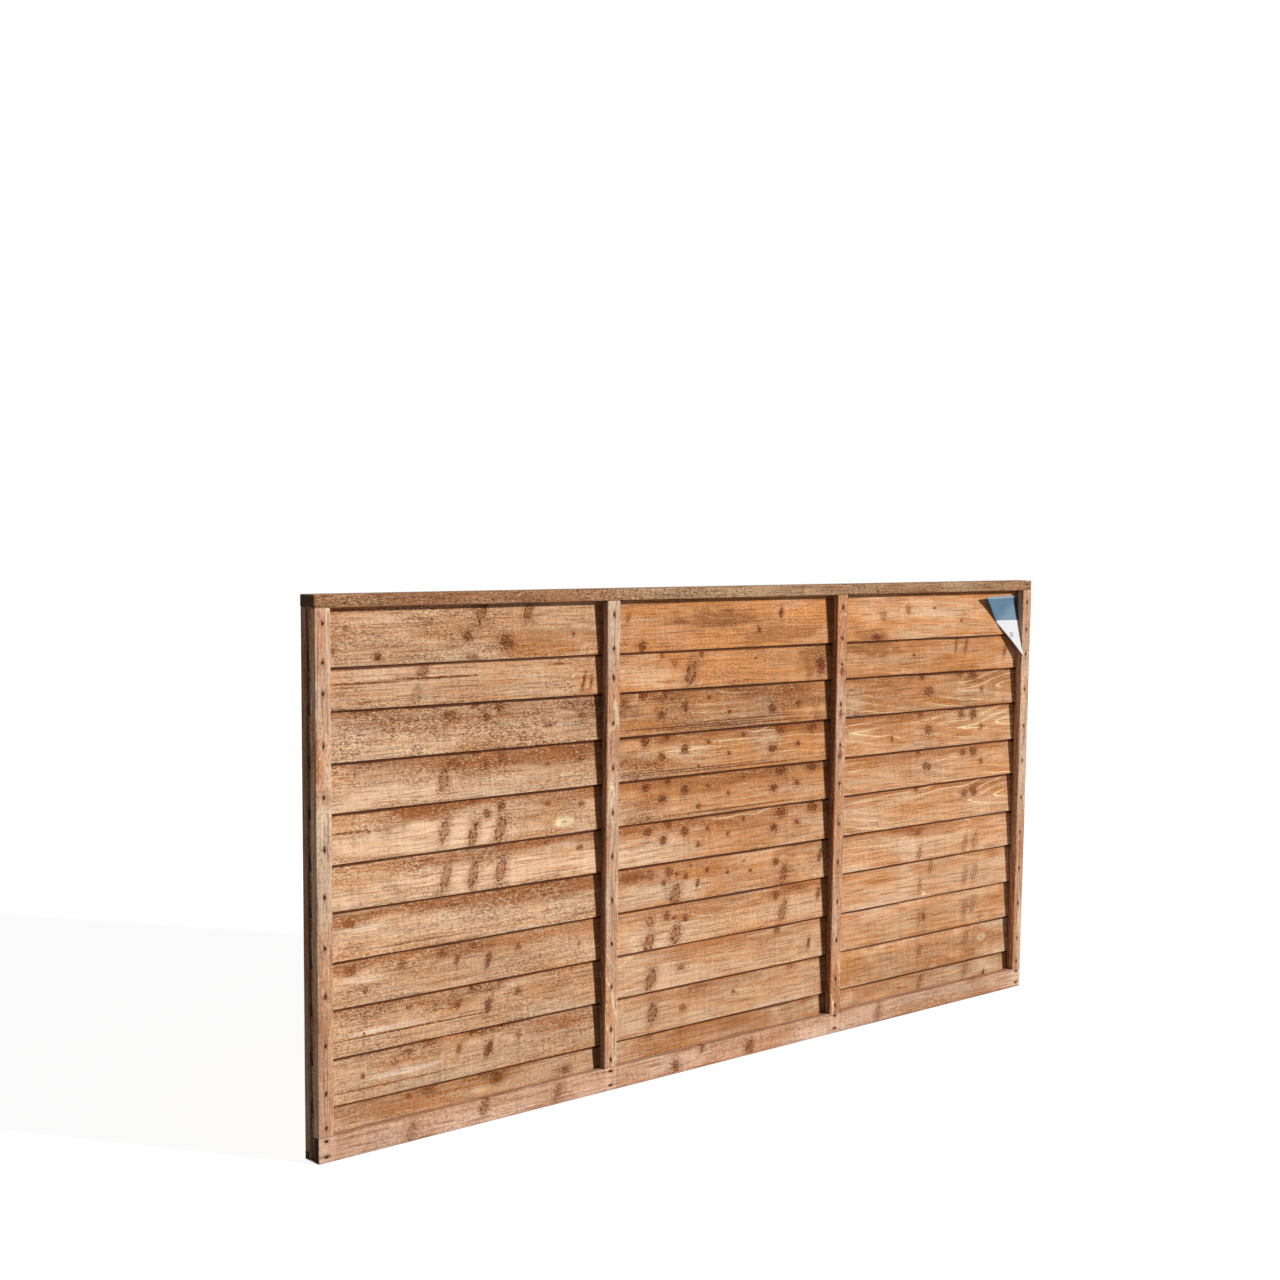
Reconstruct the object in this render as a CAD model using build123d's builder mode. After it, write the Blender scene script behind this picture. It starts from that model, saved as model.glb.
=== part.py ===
from build123d import *
from math import asin, ceil, cos, degrees, sin, tan
import os

# A lap fence panel of sawn softwood, six feet long and three feet high.
# Thin slats run its whole length, each lapping over the one below like roof tiles.
# They are nailed between four pairs of uprights, with a cap rail on top and two rails at the foot.
# Millimetres. X runs along the panel, -Y is its front, +Z is up, and the origin is the middle of its foot.

# Overall size
panel_length = 1828.0
panel_height = 914.0

# Uprights, one in front of the slats and one behind at each station
upright_count = 4
upright_width = 29.0
front_upright_thickness = 15.5
back_upright_thickness = 14.0
upright_arris = 0.8

# Cap rail, flush with the front uprights and proud of the back ones
cap_height = 21.0
cap_back_overhang = 1.5
cap_arris = 1.5

# Rails at the foot, each in the plane of the uprights that stand on it
bottom_rail_height = 42.0
rear_rail_height = 14.0
rail_arris = 0.8

# Slats
slat_width = 95.0
slat_thickness = 5.0
least_lap = 15.0
slat_end_gap = 1.0
ground_gap = 4.0

# How much above an even spacing each slat was laid, at its left end and its right end, from the top down
laid_off = (
    (0.0, -1.5),
    (10.0, 3.5),
    (5.5, 5.0),
    (4.0, 2.5),
    (0.0, 5.0),
    (3.0, 0.0),
    (0.0, 2.5),
    (1.5, -1.0),
    (0.5, -1.5),
    (1.0, -1.5),
    (0.0, 0.0),
)

# Clearances
lap_play = 0.1
slat_play = 0.1
cap_play = 0.3
shank_play = 0.05
card_play = 0.25

# Nails: square shanks under flat heads, which are drawn with eight sides because there are so many
nail_head_diameter = 5.6
nail_head_sides = 8
nail_head_thickness = 0.8
nail_shank = 2.5
nail_tip_cover = 4.0
slat_nail_rise = 30.0
top_nail_rises = (71.0, 10.0)
foot_nail_rise = 16.0
rail_nail_edge = 6.0
rear_nail_edge = 4.0
cap_nail_bite = 22.0
cap_nail_sink = 0.4
nail_crossing_wall = 1.2

# Printed card bent across the top right corner, its points measured left from the last upright
# and down from the cap rail
card_thickness = 0.5
card_top = 11.0
card_top_length = 120.0
card_top_lean = 16.0
card_left_point = (74.0, 69.0)
card_bulge_point = (44.0, 114.0)
card_fold_clearance = 2.0
card_edge_drop = 138.0
card_tip_drop = 145.0
card_tip_reach = 6.0

# Heights
cap_underside = panel_height - cap_height
slat_field = cap_underside - cap_play - ground_gap
slat_count = ceil((slat_field - slat_width) / (slat_width - least_lap)) + 1
even_pitch = (slat_field - slat_width) / (slat_count - 1)
offsets = [laid_off[i % len(laid_off)] for i in range(slat_count)]

# The slats lean enough for the closest pair to clear each other where they lap
closest = min(
    even_pitch + upper[end] - lower[end]
    for upper, lower in zip(offsets, offsets[1:])
    for end in (0, 1)
)
slat_lean = asin((slat_thickness + lap_play) / closest)
slat_depth = slat_width * sin(slat_lean) + slat_thickness * cos(slat_lean)

# Depths, from the front face to the back
slat_gap = slat_depth + 2 * slat_play
frame_depth = front_upright_thickness + slat_gap + back_upright_thickness
cap_depth = frame_depth + cap_back_overhang
front_face = -cap_depth / 2
gap_front = front_face + front_upright_thickness
gap_back = gap_front + slat_gap
back_face = gap_back + back_upright_thickness
nail_tip = back_face - nail_tip_cover
cut_face = nail_tip + shank_play

# Stations along the panel
panel_left = -panel_length / 2
slat_left = panel_left + slat_end_gap
slat_length = panel_length - 2 * slat_end_gap
upright_pitch = (panel_length - upright_width) / (upright_count - 1)
stations = [panel_left + upright_width / 2 + i * upright_pitch for i in range(upright_count)]

# Planes that face the front: sketches on them read X across and Z up
front_plane = Plane.XZ.offset(-front_face)
cut_plane = Plane.XZ.offset(-cut_face)
shank_hole = nail_shank + 2 * shank_play


def slat_slope(i):
    """Rise of a slat for each millimetre along the panel."""
    left, right = offsets[i]
    return (right - left) / slat_length


def lower_edge(i, x):
    """Height of a slat's lower front edge at x."""
    even = cap_underside - cap_play - slat_width - i * even_pitch
    return even + offsets[i][0] + slat_slope(i) * (x - slat_left)


def slat_face(z):
    """Depth of the top slat's front face at a height near the panel's right end."""
    return gap_front + slat_play + (z - lower_edge(0, stations[-1])) * tan(slat_lean)


def upright_nails_at(x):
    """Heights of the nails in the front upright at x."""
    heights = [lower_edge(0, x) + rise for rise in top_nail_rises]
    heights += [lower_edge(i, x) + slat_nail_rise for i in range(1, slat_count - 1)]
    heights.append(bottom_rail_height + foot_nail_rise)
    return heights


# Every nail through the slats, as (x, z)
upright_nail_points = [(x, z) for x in stations for z in upright_nails_at(x)]
rail_nail_points = [(x, bottom_rail_height - rail_nail_edge) for x in stations]
rear_nail_points = [(x, rear_rail_height - rear_nail_edge) for x in stations]
foot_nail_points = rail_nail_points + rear_nail_points
all_nail_points = upright_nail_points + foot_nail_points

# Cap nails, as (x, y): one into each upright's end, driven beside the nails that pass through the upright
cap_nail_aside = shank_hole + nail_crossing_wall
cap_nail_rows = ((front_face + gap_front) / 2, (gap_back + back_face) / 2)
cap_nail_points = [(x + cap_nail_aside, y) for x in stations for y in cap_nail_rows]
cap_nail_length = cap_height - cap_nail_sink - nail_head_thickness + cap_nail_bite


def nails_near(points, low, high):
    """The nails whose shanks reach into a band of heights."""
    return [(x, z) for x, z in points if low - shank_hole < z < high + shank_hole]


def nails_in_upright(x, low):
    """The nails that pass through an upright at x which stands on something of that height."""
    return [point for point in nails_near(all_nail_points, low + shank_hole, cap_underside) if point[0] == x]


def nails_in_slat(i):
    """The nails that pass through a slat."""
    rise = slat_width * cos(slat_lean)
    drop = slat_thickness * sin(slat_lean)
    return [
        point
        for point in all_nail_points
        if nails_near([point], lower_edge(i, point[0]) - drop, lower_edge(i, point[0]) + rise)
    ]


def save(builder, name):
    """Names a finished piece and writes it."""
    builder.part.label = name
    export_step(builder.part, f"parts/{name}.step")


def make_slat(i):
    """One slat: a thin board that leans back, nailed through at each upright."""
    along = Vector(1, 0, slat_slope(i))
    start = Vector(slat_left, gap_front + slat_play, lower_edge(i, slat_left))
    with BuildPart() as slat:
        with BuildSketch(Plane(origin=start, x_dir=(0, 1, 0), z_dir=along)):
            Rectangle(slat_thickness, slat_width, rotation=-degrees(slat_lean), align=(Align.MIN, Align.MIN))
        extrude(amount=slat_length)
        with BuildSketch(cut_plane):
            with Locations(*nails_in_slat(i)):
                Rectangle(shank_hole, shank_hole)
        extrude(amount=cap_depth, mode=Mode.SUBTRACT)
    save(slat, "foot_slat" if i == slat_count - 1 else f"slat_{i + 1:02d}")


def make_upright(name, x, near_face, thickness, foot):
    """One upright from the rail that it stands on to the cap rail, with its corners eased."""
    height = cap_underside - foot
    middle = near_face + thickness / 2
    with BuildPart() as upright:
        with BuildSketch(Plane.XY.offset(foot)):
            with Locations((x, middle)):
                Rectangle(upright_width, thickness)
        extrude(amount=height)
        chamfer(upright.edges().filter_by(Axis.Z), upright_arris)
        with BuildSketch(cut_plane):
            with Locations(*nails_in_upright(x, foot)):
                Rectangle(shank_hole, shank_hole)
        extrude(amount=cap_depth, mode=Mode.SUBTRACT)
        with BuildSketch(Plane.XY.offset(cap_underside)):
            with Locations((x + cap_nail_aside, middle)):
                Rectangle(shank_hole, shank_hole)
        extrude(amount=-(cap_nail_bite + shank_play), mode=Mode.SUBTRACT)
    save(upright, name)


def make_cap_rail():
    """The flat batten along the top, with its nail heads punched just under the surface."""
    with BuildPart() as cap:
        with BuildSketch(Plane.XY.offset(cap_underside)):
            Rectangle(panel_length, cap_depth)
        extrude(amount=cap_height)
        chamfer(cap.faces().sort_by(Axis.Z)[-1].edges().filter_by(Axis.X), cap_arris)
        with BuildSketch(Plane.XY.offset(panel_height)):
            with Locations(*cap_nail_points):
                RegularPolygon(nail_head_diameter / 2 + shank_play, nail_head_sides)
        extrude(amount=-(cap_nail_sink + nail_head_thickness), mode=Mode.SUBTRACT)
        with BuildSketch(Plane.XY.offset(cap_underside)):
            with Locations(*cap_nail_points):
                Rectangle(shank_hole, shank_hole)
        extrude(amount=cap_height, mode=Mode.SUBTRACT)
    save(cap, "cap_rail")


def make_rail(name, near_face, thickness, height):
    """One rail along the foot, with its long corners eased, pierced by the nails that reach it."""
    with BuildPart() as rail:
        with BuildSketch(Plane.XY):
            with Locations((0, near_face + thickness / 2)):
                Rectangle(panel_length, thickness)
        extrude(amount=height)
        chamfer(rail.edges().filter_by(Axis.X), rail_arris)
        with BuildSketch(cut_plane):
            with Locations(*[point for point in foot_nail_points if point[1] < height]):
                Rectangle(shank_hole, shank_hole)
        extrude(amount=cap_depth, mode=Mode.SUBTRACT)
    save(rail, name)


def make_nails(name, points):
    """Nails driven from the front, their heads on the face of the wood."""
    with BuildPart() as nails:
        with BuildSketch(front_plane):
            with Locations(*points):
                RegularPolygon(nail_head_diameter / 2, nail_head_sides)
        extrude(amount=nail_head_thickness)
        with BuildSketch(front_plane):
            with Locations(*points):
                Rectangle(nail_shank, nail_shank)
        extrude(amount=front_face - nail_tip)
    save(nails, name)


def make_cap_nails():
    """Nails driven down through the cap rail into the uprights' ends."""
    seat = panel_height - cap_nail_sink - nail_head_thickness
    with BuildPart() as nails:
        with BuildSketch(Plane.XY.offset(seat)):
            with Locations(*cap_nail_points):
                RegularPolygon(nail_head_diameter / 2, nail_head_sides)
        extrude(amount=nail_head_thickness)
        with BuildSketch(Plane.XY.offset(seat)):
            with Locations(*cap_nail_points):
                Rectangle(nail_shank, nail_shank)
        extrude(amount=-cap_nail_length)
    save(nails, "cap_nails")


def card_leaf(corners):
    """One flat leaf of the card: its plane through the first three corners, and its outline on that plane."""
    first, second, third = corners[:3]
    normal = (second - first).cross(third - first)
    if normal.Y > 0:
        normal = -normal
    leaf = Plane(origin=first, x_dir=second - first, z_dir=normal)
    return leaf, [leaf.to_local_coords(corner) for corner in corners]


def make_corner_card():
    """A thin card folded once, resting on the top slat and on the last upright's front corner."""
    inner_side = stations[-1] - upright_width / 2
    top = cap_underside - card_top
    left, drop = card_left_point
    left_z = cap_underside - drop
    fold_top = Vector(inner_side - card_play, slat_face(top) - card_fold_clearance, top)
    fold_foot = Vector(inner_side - left, slat_face(left_z) - card_play, left_z)
    flap = Vector(inner_side - card_top_length, slat_face(top) - card_top_lean, top)
    edge = Vector(inner_side - card_play, front_face - card_play, cap_underside - card_edge_drop)

    def on_leaf(across, down):
        """A point of the lower leaf, from its place across the corner and below the cap rail."""
        normal = (edge - fold_top).cross(fold_foot - fold_top)
        x = inner_side + across - fold_top.X
        z = cap_underside - down - fold_top.Z
        return fold_top + Vector(x, -(normal.X * x + normal.Z * z) / normal.Y, z)

    tip = on_leaf(card_tip_reach, card_tip_drop)
    bulge = on_leaf(-card_bulge_point[0], card_bulge_point[1])
    upper_leaf, upper_outline = card_leaf([fold_top, fold_foot, flap])
    lower_leaf, lower_outline = card_leaf([fold_top, fold_foot, edge, tip, bulge])
    top_local, foot_local, edge_local, tip_local, bulge_local = lower_outline
    with BuildPart() as card:
        with BuildSketch(upper_leaf):
            with BuildLine():
                Polyline(*upper_outline, close=True)
            make_face()
        extrude(amount=card_thickness)
        with BuildSketch(lower_leaf):
            with BuildLine():
                Polyline(foot_local, top_local, edge_local, tip_local)
                ThreePointArc(tip_local, bulge_local, foot_local)
            make_face()
        extrude(amount=card_thickness)
    save(card, "corner_card")


os.makedirs("parts", exist_ok=True)
for i in range(slat_count):
    make_slat(i)
for number, x in enumerate(stations, start=1):
    make_upright(f"front_upright_{number}", x, front_face, front_upright_thickness, bottom_rail_height)
    make_upright(f"back_upright_{number}", x, gap_back, back_upright_thickness, rear_rail_height)
make_cap_rail()
make_rail("bottom_rail", front_face, front_upright_thickness, bottom_rail_height)
make_rail("rear_rail", gap_back, back_upright_thickness, rear_rail_height)
make_nails("upright_nails", upright_nail_points)
make_nails("rail_nails", foot_nail_points)
make_cap_nails()
make_corner_card()
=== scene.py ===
"""The wooden fence panel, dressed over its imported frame. Metres, in the frame's own axes."""
import math
from functools import partial
import bmesh
import bpy
import numpy as np
from mathutils import Euler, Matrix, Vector


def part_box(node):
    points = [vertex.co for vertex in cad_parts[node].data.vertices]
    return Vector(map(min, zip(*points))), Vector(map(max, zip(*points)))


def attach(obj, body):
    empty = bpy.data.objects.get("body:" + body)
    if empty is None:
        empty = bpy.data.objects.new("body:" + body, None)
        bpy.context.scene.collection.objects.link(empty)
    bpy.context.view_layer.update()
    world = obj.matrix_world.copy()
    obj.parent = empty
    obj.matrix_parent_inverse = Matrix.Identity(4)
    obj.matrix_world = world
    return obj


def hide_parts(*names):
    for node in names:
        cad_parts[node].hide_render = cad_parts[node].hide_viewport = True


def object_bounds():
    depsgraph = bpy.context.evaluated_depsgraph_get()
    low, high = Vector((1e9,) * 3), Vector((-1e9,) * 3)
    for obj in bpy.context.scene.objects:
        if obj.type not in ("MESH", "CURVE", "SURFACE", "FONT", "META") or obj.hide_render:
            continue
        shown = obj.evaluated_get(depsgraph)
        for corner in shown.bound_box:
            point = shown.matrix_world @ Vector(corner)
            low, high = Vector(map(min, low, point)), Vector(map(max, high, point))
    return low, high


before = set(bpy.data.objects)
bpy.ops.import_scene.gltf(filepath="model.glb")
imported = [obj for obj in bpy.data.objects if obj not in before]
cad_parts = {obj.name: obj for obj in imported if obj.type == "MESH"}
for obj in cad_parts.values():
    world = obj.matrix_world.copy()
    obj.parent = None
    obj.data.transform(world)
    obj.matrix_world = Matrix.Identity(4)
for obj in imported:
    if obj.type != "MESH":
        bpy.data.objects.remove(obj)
cad_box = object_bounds()

MM = 0.001
PANEL_HALF = 0.914

# Camera, fitted to the corners and edges of the panel in the photograph
SENSOR_WIDTH = 36.0
LENS = 52.53
CAMERA_PLACE = (-2.4602, -2.5476, 1.0308)
CAMERA_TURN = (84.124, -0.658, -42.430)
SHIFT_X = -0.0290
SHIFT_Y = 0.0591

# Light: a sun from the upper right in front, a softer one from behind, and a pale surrounding.
# Each lamp has the way it shines, its strength, and its spread in degrees
SUN = ((-0.65, 1.0, -0.39), 3.1, 3.0)
BACK_LIGHT = ((-0.25, -1.0, -0.45), 1.5, 25.0)
SKY_FILL = 0.13
WHITE = (1, 1, 1, 1)
FLOOR_COLOUR = (0.40, 0.40, 0.40, 1)
FLOOR_SIZE = 30.0
FLOOR_GLOW = 0.83

# Boards: how finely a face is divided, what saw and weather took off it, and how sharp an edge looks rounded
STATION_STEP = 4.5 * MM
ROW_STEP = 4.75 * MM
BOARD_ARRIS = 0.7 * MM
CAP_ARRIS = 1.5 * MM
SAW_RELIEF = 0.22 * MM
EDGE_RELIEF = 0.8 * MM
NOISE_CELLS = 128
SMOOTH_ANGLE = math.radians(50)

# Slats: the darker band below the slat above, the painted shade in the lap's corner, how far the top slat
# reaches up to the cap rail, and the strip of painted shadow beside an inner upright
BAND_DEPTH = 34 * MM
LAP_SHADE_REACH = 4.6 * MM
NO_LAP = 1.0
TOP_SEAT = 2.5 * MM
SHADOW_STRIP = 10 * MM

# The dark mark round a nail
STAIN_HALF_LENGTH = 5.0 * MM
STAIN_HALF_WIDTH = 2.4 * MM
STAIN_TONE = 0.75
# Marks this much taller than wide lean, by this much. With no knot near, the offset is a large one
KNOT_TALL = 1.4
KNOT_LEAN = 0.28
NO_KNOT = 9.0

# Growth rings: how far behind the board the log's pith lay, and for wide and slim boards how far it wanders
# across, over what length, and how far in depth
RING_DENSITY = 95.0
PITH_DEPTH = 0.026
SLIM_WIDTH = 0.05
WIDE_PITH = (0.35, 1.1, 0.012)
SLIM_PITH = (0.8, 0.16, 0.024)
# The tapering rings in the right bay of one block: where they start, how far up the slat, how fast they open,
# how close they lie beside plain rings, and how far ahead of their start the first one is
FLAMED_BLOCK = 3
FLAME_START = 1.222
FLAME_HEIGHT = 0.042
FLAME_SLOPE = 0.10
FLAME_SPREAD = 0.7
FLAME_LEAD = 9 * MM


def noise(seed, x, y, cell_x, cell_y):
    """Noise from -1 to 1 at x, y: one random value a cell, blended smoothly."""
    table = np.random.RandomState(seed).uniform(-1, 1, (NOISE_CELLS, NOISE_CELLS))
    across_x = np.asarray(x) / cell_x
    across_y = np.asarray(y) / cell_y
    column = np.floor(across_x).astype(int)
    row = np.floor(across_y).astype(int)
    blend_x = ramp(0, 1, across_x - column)
    blend_y = ramp(0, 1, across_y - row)

    def value(i, j):
        return table[(column + i) % NOISE_CELLS, (row + j) % NOISE_CELLS]

    near = value(0, 0) * (1 - blend_x) + value(1, 0) * blend_x
    far = value(0, 1) * (1 - blend_x) + value(1, 1) * blend_x
    return near * (1 - blend_y) + far * blend_y


def ramp(start, end, x):
    """0 before start, 1 past end, and smooth between. It falls along x where end is the lower."""
    share = np.clip((np.asarray(x) - start) / (end - start), 0, 1)
    return share * share * (3 - 2 * share)


class Board:
    """A sawn piece as a box with its own axes: s along it, t across its face, n out of it, 0 at the face."""

    def __init__(self, corner, axes, size):
        self.corner = corner
        self.axes = np.array(axes)
        self.along, self.across, self.outward = self.axes
        self.length, self.width, self.thickness = size


# How a board lies in its node's box: 1 where it starts from the high side, then the directions along it,
# across its face and out of it
FRONT_UPRIGHT = ((1, 0, 0), (0, 0, 1), (-1, 0, 0), (0, -1, 0))
BACK_UPRIGHT = ((0, 1, 0), (0, 0, 1), (1, 0, 0), (0, 1, 0))
FRONT_RAIL = ((0, 0, 0), (1, 0, 0), (0, 0, 1), (0, -1, 0))
BACK_RAIL = ((0, 1, 1), (1, 0, 0), (0, 0, -1), (0, 1, 0))
CAP_RAIL = ((0, 0, 1), (1, 0, 0), (0, 1, 0), (0, 0, 1))


def box_board(name, lay):
    """A board from its node's box."""
    low, high = np.array(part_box(name))
    axes = lay[1:]
    return Board(np.where(lay[0], high, low), axes, [abs(np.dot(high - low, axis)) for axis in axes])


def slat_board(name):
    """A slat from the corners of its node's ends: it leans, and may lie off level."""
    points = np.array([vert.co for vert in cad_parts[name].data.vertices])

    def corners(end):
        middle = end[:, 2].mean()
        lower = end[end[:, 2] < middle]
        upper = end[end[:, 2] > middle]
        return lower[lower[:, 1].argmin()], lower[lower[:, 1].argmax()], upper[upper[:, 1].argmin()]

    lower_left, back_left, upper_left = corners(points[points[:, 0] < points[:, 0].min() + MM])
    lower_right = corners(points[points[:, 0] > points[:, 0].max() - MM])[0]
    edges = (lower_right - lower_left, upper_left - lower_left, back_left - lower_left)
    size = [np.linalg.norm(edge) for edge in edges]
    along = edges[0] / size[0]
    across = edges[1] / size[1]
    return Board(lower_left, (along, across, np.cross(along, across)), size)


def section_loop(width, thickness, arris, step):
    """A board's section as points (t, n) with outward normals, its face's last point and its back's first."""
    corners = np.array([(0.0, 0.0), (width, 0.0), (width, -thickness), (0.0, -thickness)])
    points = []
    normals = []
    starts = []
    for here, there in zip(corners, np.roll(corners, -1, axis=0)):
        way = (there - here) / np.linalg.norm(there - here)
        out = np.array([-way[1], way[0]])
        first = here + arris * way
        last = there - arris * way
        count = max(1, round(np.linalg.norm(last - first) / step))
        starts.append(len(points))
        points += [first + (last - first) * i / count for i in range(count + 1)]
        turn = (way + out) / math.sqrt(2)
        points.append(last - arris * out + arris * turn)
        normals += [out] * (count + 1) + [turn]
    return np.array(points), np.array(normals), starts[1] - 2, starts[2]


def grid_faces(rows, columns, closed):
    """Quads between rows of points. A closed row's last point meets its first."""
    return [(row * columns + i, (row + 1) * columns + i, (row + 1) * columns + (i + 1) % columns,
             row * columns + (i + 1) % columns)
            for row in range(rows - 1) for i in range(columns if closed else columns - 1)]


def end_faces(first, count, last, back_start, reverse):
    """A board's end: quads between face and back, and one polygon at each narrow side."""
    faces = [[i, i + 1, back_start + last - i - 1, back_start + last - i] for i in range(last)]
    faces.append(list(range(last, back_start + 1)))
    faces.append(list(range(back_start + last, count)) + [0])
    return [[first + i for i in (face[::-1] if reverse else face)] for face in faces]


def saw_depth(seed, s, t, n, normal_t, normal_n):
    """What the saw and the weather took off: a little of the faces, and more of the edges."""
    saw = 0.5 + 0.5 * noise(seed + 3, s, t + 3 * n, 0.006, 0.05)
    hollow = 0.5 + 0.5 * noise(seed + 4, s, t + 3 * n, 0.11, 0.04)
    waver = 0.5 + 0.5 * noise(seed + 5, s, normal_t, 0.16, 1.0)
    nick = np.clip(noise(seed + 6, s, normal_t, 0.011, 1.0), 0, 1) ** 3
    faces = np.abs(normal_n) * SAW_RELIEF * (0.5 * saw + 0.5 * hollow)
    return faces + np.abs(normal_t) * EDGE_RELIEF * (0.75 * waver + 0.25 * nick)


def ring_field(board, seed, s, t, n, knots, flame):
    """Distance from the wandering pith of the board's log, pushed aside at its knots."""
    drift, drift_length, rise = SLIM_PITH if board.width < SLIM_WIDTH else WIDE_PITH
    middle = board.width * (0.5 + drift * noise(seed, s, 0 * s, drift_length, 1.0))
    depth = PITH_DEPTH + rise * noise(seed + 1, s, 0 * s, 0.38, 1.0)
    field = np.sqrt((t - middle) ** 2 + (depth - n) ** 2)
    if flame:
        away = t - FLAME_HEIGHT - 0.005 * noise(seed + 4, s, 0 * s, 0.09, 1.0)
        taper = np.sqrt(away ** 2 + (2 * MM) ** 2) - FLAME_SLOPE * (s - FLAME_START) + n - FLAME_LEAD
        there = ramp(FLAME_START - 15 * MM, FLAME_START + 15 * MM, s)
        field = field + (FLAME_SPREAD * taper - field) * there
    field = field + 0.0016 * noise(seed + 2, s, t, 0.11, 0.022) + 0.0008 * noise(seed + 3, s, t, 0.03, 0.012)
    for knot_s, knot_t, half_s, half_t, tone, hue in knots:
        if half_s < 4 * half_t:
            along = (s - knot_s) / (half_s * 3.5 + 0.010)
            across = (t - knot_t) / (half_t * 2.2 + 0.004)
            field = field + 0.006 * abs(tone) * np.exp(-along ** 2 - across ** 2)
    return field


def knot_offsets(corner_s, corner_t, knots):
    """For each face's corners: offsets from its nearest knot, in half widths, and its tone and hue."""
    values = np.zeros(corner_s.shape + (4,))
    values[..., :2] = NO_KNOT
    if not len(knots):
        return values
    table = np.array(knots)
    middle_s = corner_s.mean(axis=1)[:, None]
    middle_t = corner_t.mean(axis=1)[:, None]
    reach = ((middle_s - table[:, 0]) / table[:, 2]) ** 2 + ((middle_t - table[:, 1]) / table[:, 3]) ** 2
    knot_s, knot_t, half_s, half_t, tone, hue = table[reach.argmin(axis=1)].T[:, :, None]
    up = corner_t - knot_t
    lean = KNOT_LEAN * (half_t > KNOT_TALL * half_s)
    values[..., 0] = (corner_s - knot_s - lean * up) / half_s
    values[..., 1] = up / half_t
    values[..., 2] = tone
    values[..., 3] = hue
    return values


FIELDS = {"FLOAT": "value", "FLOAT_VECTOR": "vector", "FLOAT_COLOR": "color"}


def store(mesh, name, kind, values, domain="POINT"):
    """Keeps numbers on the mesh for its material to read."""
    layer = mesh.attributes.new(name, kind, domain)
    layer.data.foreach_set(FIELDS[kind], np.ascontiguousarray(values, dtype=np.float32).ravel())


def make_board(name, board, woods, seed, knots, tone, arris=BOARD_ARRIS, rings=None, ceiling=None,
               lap=None, flame=False, ringed=(0, 0, 0)):
    """A sawn board as one closed mesh over its node, with the facts its material reads."""
    points, normals, face_last, back_start = section_loop(board.width, board.thickness, arris, ROW_STEP)
    count = len(points)
    inner = np.linspace(arris, board.length - arris, round(board.length / STATION_STEP) + 1)
    stations = np.concatenate([[0.0], inner, [board.length]])
    inset = np.zeros(len(stations))
    inset[[0, -1]] = arris
    s = np.repeat(stations, count)
    t, n = np.tile(points, (len(stations), 1)).T
    normal_t, normal_n = np.tile(normals, (len(stations), 1)).T
    depth = saw_depth(seed, s, t, n, normal_t, normal_n) + np.repeat(inset, count)
    places = board.corner + np.stack([s, t - normal_t * depth, n - normal_n * depth], axis=-1) @ board.axes
    if ceiling:
        places[:, 2] = np.minimum(places[:, 2], ceiling)
    quads = np.array(grid_faces(len(stations), count, True))
    ends = end_faces(0, count, face_last, back_start, False)
    ends += end_faces((len(stations) - 1) * count, count, face_last, back_start, True)
    mesh = bpy.data.meshes.new(name + "_mesh")
    mesh.from_pydata(places.tolist(), [], quads.tolist() + ends)
    corners = knot_offsets(s[quads], t[quads], knots).reshape(-1, 4)
    end_corners = np.tile([NO_KNOT, NO_KNOT, 0.0, 0.0], (sum(len(face) for face in ends), 1))
    store(mesh, "knot", "FLOAT_COLOR", np.concatenate([corners, end_corners]), "CORNER")
    offset = np.array([0.37 * seed, 0.11 * seed, 0.053 * seed])
    store(mesh, "grain", "FLOAT_VECTOR", np.stack([s, t, n], axis=-1) + offset)
    store(mesh, "field", "FLOAT", ring_field(board, rings or seed, s, t, n, knots, flame))
    store(mesh, "ringed", "FLOAT", by_bay(ringed, s))
    store(mesh, "tone", "FLOAT_COLOR", tone(s, t, n))
    store(mesh, "lap", "FLOAT", lap(s, t, n) if lap else np.full_like(s, NO_LAP))
    for wood in woods:
        mesh.materials.append(wood)
    mesh.polygons.foreach_set("material_index", [0] * len(quads) + [1] * len(ends))
    mesh.polygons.foreach_set("use_smooth", [True] * len(quads) + [False] * len(ends))
    mesh.set_sharp_from_angle(angle=SMOOTH_ANGLE)
    mesh.update()
    return finish_piece(name + "_timber", mesh, name)


def finish_piece(name, mesh, node):
    """An object for the mesh that stands for the node and rides on the panel."""
    piece = bpy.data.objects.new(name, mesh)
    bpy.context.scene.collection.objects.link(piece)
    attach(piece, "root")
    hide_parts(node)
    return piece


def linear(red, green, blue):
    """A colour as it is seen, 0 to 255, in the renderer's linear values."""
    def one(value):
        share = value / 255
        return share / 12.92 if share <= 0.04045 else ((share + 0.055) / 1.055) ** 2.4
    return (one(red), one(green), one(blue), 1.0)


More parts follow.
